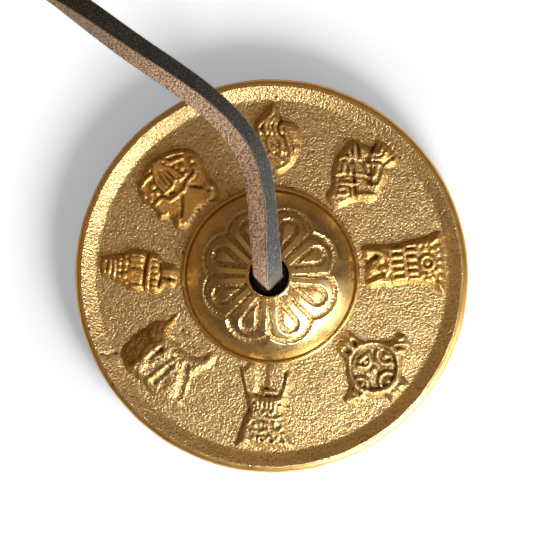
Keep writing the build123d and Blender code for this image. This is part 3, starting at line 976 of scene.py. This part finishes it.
def softLine(points, closed=False, parts=5):
    # curve through the points, which are in hundredths
    p = np.array(points, float) / 100
    before = np.vstack([p[-1:] if closed else p[:1], p[:-1]])
    after = np.vstack([p[1:], p[:1] if closed else p[-1:]])
    last = np.vstack([after[1:], after[:1] if closed else after[-1:]])
    line = []
    for i in range(len(p) if closed else len(p) - 1):
        for t in np.arange(parts) / parts:
            line.append(0.5 * (2 * p[i] + (after[i] - before[i]) * t
                               + (2 * before[i] - 5 * p[i] + 4 * after[i] - last[i]) * t * t
                               + (3 * p[i] - before[i] - 3 * after[i] + last[i]) * t ** 3))
    line.append(p[0] if closed else p[-1])
    return np.array(line)


def distanceTo(line, u, v):
    nearest = np.full(u.shape, np.inf)
    for a, b in zip(line[:-1], line[1:]):
        run = b - a
        t = np.clip(((u - a[0]) * run[0] + (v - a[1]) * run[1]) / max(run @ run, 1e-12), 0, 1)
        nearest = np.minimum(nearest, np.hypot(u - a[0] - t * run[0], v - a[1] - t * run[1]))
    return nearest


def isInside(line, u, v):
    inside = np.zeros(u.shape, bool)
    for (ua, va), (ub, vb) in zip(line[:-1], line[1:]):
        if va != vb:
            inside ^= ((va > v) != (vb > v)) & (u < (ub - ua) * (v - va) / (vb - va) + ua)
    return inside


def softened(height, passes):
    for _ in range(passes):
        h = np.pad(height, 1, mode="edge")
        height = (4 * h[1:-1, 1:-1] + 2 * (h[:-2, 1:-1] + h[2:, 1:-1] + h[1:-1, :-2] + h[1:-1, 2:])
                  + h[:-2, :-2] + h[:-2, 2:] + h[2:, :-2] + h[2:, 2:]) / 16
    return height


def symbolHeight(shape, u, v):
    # height over the field in millimetres, from the symbol's outline, ridges, cuts, beads and rings
    s = symbolSpec
    half = s["half"]

    def padOf(outline):
        loop = softLine(outline, closed=True)
        return distanceTo(loop, u, v) * half * np.where(isInside(loop, u, v), -1, 1)

    def strokes(groups):
        top = np.zeros(u.shape)
        for width, height, lines in groups:
            for line in lines:
                away = distanceTo(softLine(line), u, v) / (width / 100)
                top = np.maximum(top, height * (1 - easeStep(0.28, 0.62, away)))
        return top

    spots = np.stack([u * half, v * half, 0 * u], axis=-1).reshape(-1, 3)
    ragged = unevenness(spots, 1.1, 4.0).reshape(u.shape)
    away = padOf(shape["outline"]) + s["ragged"] * ragged
    pad = 1 - easeStep(-shape.get("wallIn", s["wallIn"]), s["wallOut"], away)
    raised = strokes(shape["ridges"])
    for radius, height, places in shape["beads"]:
        for bu, bv in np.array(places) / 100:
            ball = np.clip(1 - ((u - bu) ** 2 + (v - bv) ** 2) / (radius / 100) ** 2, 0, 1)
            raised = np.maximum(raised, height * np.sqrt(ball))
    for *ring, height in shape.get("rings", []):
        ru, rv, radius, width = np.array(ring) / 100
        away = np.abs(np.hypot(u - ru, v - rv) - radius) / (width / 2)
        raised = np.maximum(raised, height * (1 - easeStep(0.55, 1.2, away)))
    for depth, outline in shape.get("hollows", []):
        raised = raised - depth * (1 - easeStep(-0.25, 0.1, padOf(outline)))
    raised = raised - strokes(shape.get("grooves", []))
    low = strokes(shape.get("lowRidges", []))
    fall = np.clip((s["crestEnd"] - u) / (s["crestEnd"] - shape.get("crest", 1.1)), 0, 1)
    padHeight = s["padHeight"] * (1 + shape.get("lean", 0) * u) * fall
    surface = -s["sink"] + (padHeight + s["sink"] + s["relief"] * raised) * pad
    return np.maximum(surface, np.where(low > 0, low, -s["sink"]))


def makeSymbol(name, shape):
    s = symbolSpec
    reachU, reachV = (reach * s["half"] for reach in s["reach"])
    columns, rows = (int(2 * reach / s["step"]) for reach in (reachU, reachV))
    bpy.ops.mesh.primitive_grid_add(x_subdivisions=columns, y_subdivisions=rows, size=1)
    relief = bpy.context.object
    relief.name = name
    flat = pointsOf(relief)
    across, outward = flat[:, 0] * 2 * reachU, flat[:, 1] * 2 * reachV
    order = np.lexsort((across.round(5), outward.round(5)))
    u = across[order].reshape(rows + 1, columns + 1) / s["half"]
    v = outward[order].reshape(rows + 1, columns + 1) / s["half"]
    height = softened(symbolHeight(shape, u, v), shape.get("rounding", 2))
    spots = np.stack([across[order], outward[order], np.zeros(len(order))], axis=1)
    seed = abs(shape["direction"])
    broad, small = (unevenness(spots, size, seed + 7 * k) for k, size in enumerate(s["castSize"]))
    cast = s["castDepth"][0] * broad + s["castDepth"][1] * small
    height = height + shape.get("uneven", 1) * cast.reshape(height.shape) * (height > -0.2)
    # darker in hollows and between ridges: patina, and painted shade
    crevice = np.clip((softened(height, 9) - height) / s["creviceDepth"], 0, 1) * (height > -0.1)
    slope = softened(np.hypot(*np.gradient(height, s["step"])), 2)
    proud = np.clip((height - softened(height, 30)) / s["proudHeight"], -1, 1)
    crest = shape.get("crest", 1.2)
    # painted shade: past the crest, on the fishes' falling flank, the pad is darkened, polished and tinted
    # orange as if turned from the light
    paintedShadeFlank = easeStep(crest, crest + 0.12, u) * (height > 0.05)
    rubbed = np.maximum(easeStep(0.25, 0.8, slope), paintedShadeFlank)
    # walls darkened on every side: patina, and painted shade
    patinaAndShade = np.maximum(s["wallPatinaAndShade"] * easeStep(0.3, 0.8, slope), s["flankPaintedShade"] * paintedShadeFlank)
    crevice = np.maximum(crevice, patinaAndShade)
    # tops take the symbol's painted warm reflection strength
    top = easeStep(0.25, 0.6, height) * shape["warmTintAndPaintedReflection"]
    pale = 1 - 0.75 * np.clip(1.4 * proud, 0, 1)
    polish = 0.14 + (0.45 * rubbed + 0.5 * top) * shape.get("worn", 1) + 0.2 * proud
    polish = np.clip(np.maximum(polish, s["flankPolish"] * paintedShadeFlank), 0, 1)
    turn = math.radians(shape["direction"])
    out = np.array((math.cos(turn), math.sin(turn)))
    side = np.array((out[1], -out[0]))
    points = np.zeros((len(order), 3))
    points[order, :2] = np.outer(spots[:, 1] + s["circle"], out) + np.outer(spots[:, 0], side)
    ground = castingSpec["fieldHeight"] + fieldRise(np.hypot(points[order, 0], points[order, 1]))
    points[order, 2] = ground + height.ravel()
    movePoints(relief, points * mm)
    # painted warm reflection on the walls and tops, less on raised details, full on the painted-shade flank
    warmTintAndPaintedReflectionShare = np.maximum((0.15 + 0.6 * shape["warmTintAndPaintedReflection"]) * rubbed, top) * pale
    values = {
        "polish": polish, "crevice": crevice, "turned": 0 * height,
        "rough": 0 * height + bronzeSpec["sandRough"], "warmTintAndPaintedReflectionShare": np.maximum(warmTintAndPaintedReflectionShare, paintedShadeFlank),
    }
    for label, grid in values.items():
        inOrder = np.zeros(len(order))
        inOrder[order] = grid.ravel()
        setValue(relief, label, inOrder)
    buried = np.zeros(len(order), bool)
    buried[order] = height.ravel() < -s["trim"]
    trimAndClose(relief, buried, s["root"])
    return relief


def trimAndClose(relief, buried, root):
    # drops what lies under the field, then gives the relief its root and floor
    useOnly(relief)
    setMode("EDIT")
    bpy.ops.mesh.select_mode(type="VERT")
    selectAll("DESELECT")
    setMode("OBJECT")
    relief.data.vertices.foreach_set("select", buried)
    setMode("EDIT")
    bpy.ops.mesh.delete(type="VERT")
    selectAll()
    bpy.ops.mesh.delete_loose()
    bpy.ops.mesh.select_mode(type="EDGE")
    selectAll("DESELECT")
    bpy.ops.mesh.select_non_manifold(extend=False, use_wire=False, use_multi_face=False,
                                     use_non_contiguous=False, use_verts=False)
    bpy.ops.mesh.extrude_region_move(TRANSFORM_OT_translate={"value": (0, 0, -root * mm)})
    selectAll()
    bpy.ops.mesh.fill_holes(sides=0)
    bpy.ops.mesh.normals_make_consistent(inside=False)
    setMode("OBJECT")
    shadeSmooth(relief, 65)


casting = [makeBoss(), makePlate()] + [makeSymbol(name, shape) for name, shape in symbols.items()]
for piece in casting:
    piece.data.materials.append(bronze)
print("casting made:", {piece.name: len(piece.data.polygons) for piece in casting})


flaws = {
    # pits and one crack left by the casting, on the first plate only, from its middle in millimetres
    "crack": [(-30.4, -14.05), (-29.7, -13.9), (-29.2, -14.35), (-28.3, -13.9), (-27.6, -13.7)],
    "pits": [
        (-28.2, -19.3, 0.35), (-32.9, -7.4, 0.3), (-32.6, -9.4, 0.26), (-15.9, -9.6, 0.36),
        (-17.2, -12.3, 0.26), (21.6, 16.4, 0.28), (27.3, 12.0, 0.24), (9.0, -28.6, 0.26),
    ],
    "crackWidth": 0.24, "sink": 0.22,
}


def markFlaws(plate):
    points = pointsOf(plate) / mm
    x, y = points[:, 0] - firstCentre.x / mm, points[:, 1] - firstCentre.y / mm
    near = distanceTo(np.array(flaws["crack"]), x, y) / flaws["crackWidth"]
    for pitX, pitY, radius in flaws["pits"]:
        near = np.minimum(near, np.hypot(x - pitX, y - pitY) / radius)
    mark = (1 - easeStep(0.6, 1.2, near)) * (points[:, 2] > castingSpec["fieldHeight"] - 0.3)
    crevice = np.zeros(len(points), np.float32)
    plate.data.attributes["crevice"].data.foreach_get("value", crevice)
    setValue(plate, "crevice", np.maximum(crevice, mark))
    points[:, 2] -= flaws["sink"] * mark
    movePoints(plate, points * mm)


def placeCasting(which):
    cymbal = cymbals[which]
    body = which + "_cymbal"
    placed = []
    for piece in casting:
        copy = piece.copy()
        copy.data = piece.data.copy()
        copy.name = which + "_" + piece.name
        bpy.context.scene.collection.objects.link(copy)
        copy.location = cymbal["centre"]
        copy.rotation_euler = (0, 0, math.radians(cymbal["turn"]))
        useOnly(copy)
        bpy.ops.object.transform_apply(location=True, rotation=True, scale=False)
        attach(copy, body)
        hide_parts(body)
        placed.append(copy)
    return placed


placed = {which: placeCasting(which) for which in cymbals}
markFlaws(placed["first"][1])
for piece in casting:
    bpy.data.objects.remove(piece)
print("cymbals placed")


# Knots: the lace's end turned round itself under the boss
knotSpec = {
    "width": 3.3, "ringStep": 0.35, "turn": 60.0,
    "route": [
        (0.0, 0.0, 10.6), (0.0, 0.0, 8.4), (0.2, -0.2, 6.9), (2.2, -1.6, 6.6), (3.5, 1.2, 6.2),
        (1.4, 3.5, 5.6), (-2.0, 3.2, 5.2), (-3.6, 0.2, 4.9), (-2.4, -3.0, 4.4), (0.8, -3.7, 3.8),
        (3.3, -1.9, 3.2), (2.6, 0.6, 2.7), (-0.4, 0.9, 2.6), (0.9, 2.6, 2.6), (4.4, 1.6, 2.6),
        (9.0, 0.2, 2.6),
    ],
}


def makeKnot(which):
    cymbal = cymbals[which]
    turn = math.radians(cymbal["turn"])
    spots = [(x * math.cos(turn) - y * math.sin(turn), x * math.sin(turn) + y * math.cos(turn), z)
             for x, y, z in knotSpec["route"]]
    route = [cymbal["centre"] + Vector(p) * mm for p in spots]
    line = evenSteps(smoothLine(route), knotSpec["ringStep"] * mm)
    side, up = laceFrames(line)
    lengths = np.arange(len(line)) * knotSpec["ringStep"] * mm
    turns = np.full(len(line), knotSpec["turn"])
    knot = laceTube(which + "_overhand", line, side, up, turns, lengths, knotSpec["width"])
    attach(knot, which + "_knot")
    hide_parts(which + "_knot")
    return knot


knots = {which: makeKnot(which) for which in cymbals}
print("knots made")


# Finish
def finishThong():
    near, nearLine = thong["near_lace"]
    far, farLine = thong["far_lace"]
    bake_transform(near)
    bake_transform(far)
    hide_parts("near_thong")
    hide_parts("far_thong")


finishThong()
